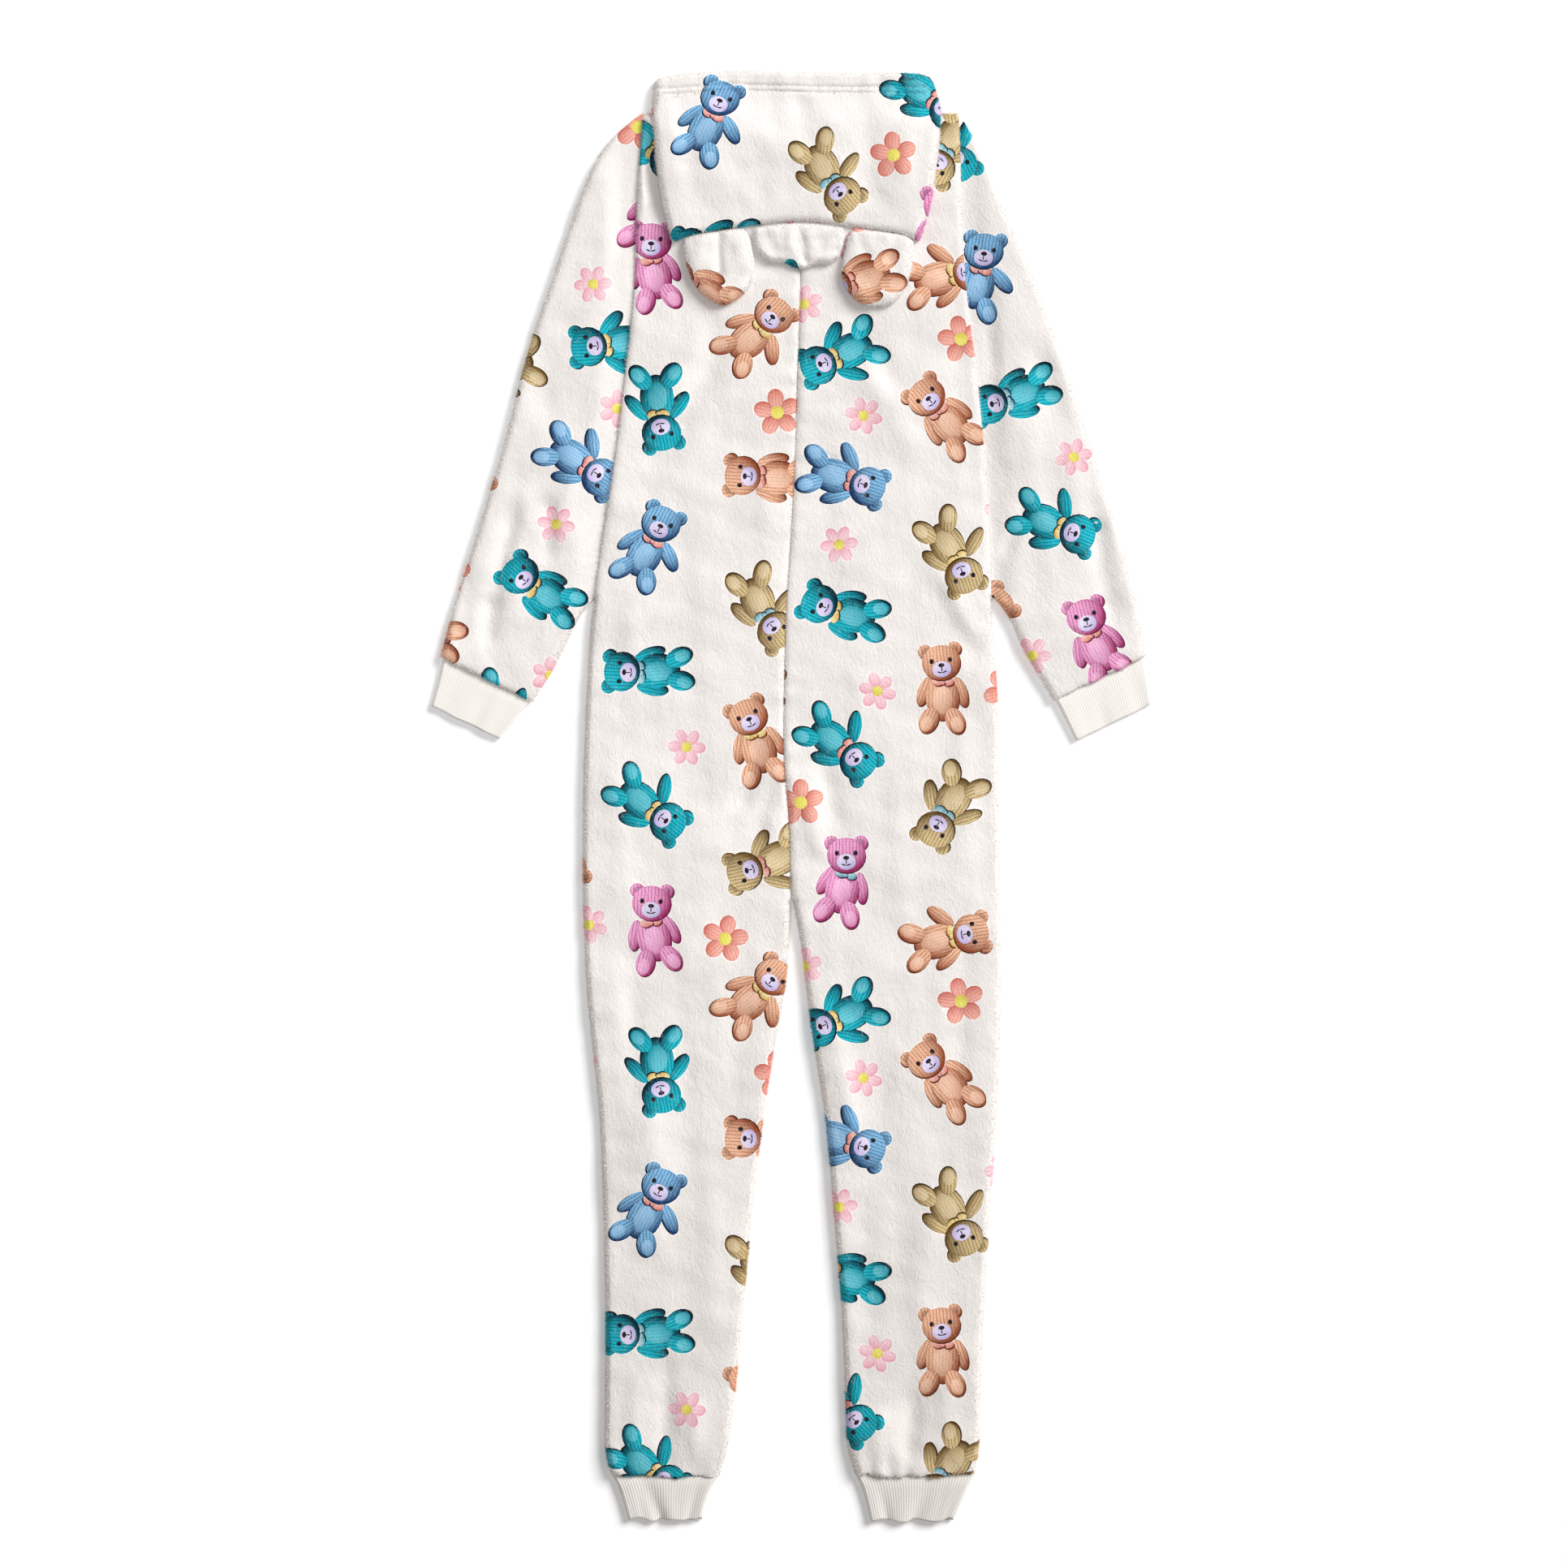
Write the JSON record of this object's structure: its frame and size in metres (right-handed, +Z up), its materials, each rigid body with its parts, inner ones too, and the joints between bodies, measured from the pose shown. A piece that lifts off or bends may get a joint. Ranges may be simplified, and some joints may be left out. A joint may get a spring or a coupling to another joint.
{
  "type": "hooded one-piece pajama",
  "caption": "Hooded one-piece fleece pajama with bear ears, laid flat with its back up: long sleeves and legs, ribbed cuffs, hood folded down on the back.",
  "frame": {"origin": "on the surface that the garment lies on, under the middle of its bounding box", "axes": "+Y from the legs to the hood, +X to the wearer's right, +Z up, away from the surface"},
  "size_m": [0.6194, 1.2479, 0.0183],
  "materials": {
    "fleece_print": "soft cream fleece with a short pile, printed with small bears and flowers",
    "cuff_rib": "plain ivory knitted rib",
    "zip_tape": "plain woven zip tape with closed teeth"
  },
  "bodies": {
    "root": {"back_left": "fleece_print", "back_right": "fleece_print", "front_left": "fleece_print", "front_right": "fleece_print", "front_zip": "zip_tape", "sleeve_left": "fleece_print", "sleeve_right": "fleece_print", "cuff_wrist_left": "cuff_rib", "cuff_wrist_right": "cuff_rib", "cuff_ankle_left": "cuff_rib", "cuff_ankle_right": "cuff_rib", "hood_front": "fleece_print", "hood_back": "fleece_print", "hood_side_left": "fleece_print", "hood_side_right": "fleece_print", "ear_left": "fleece_print", "ear_right": "fleece_print"}
  },
  "joints": []
}
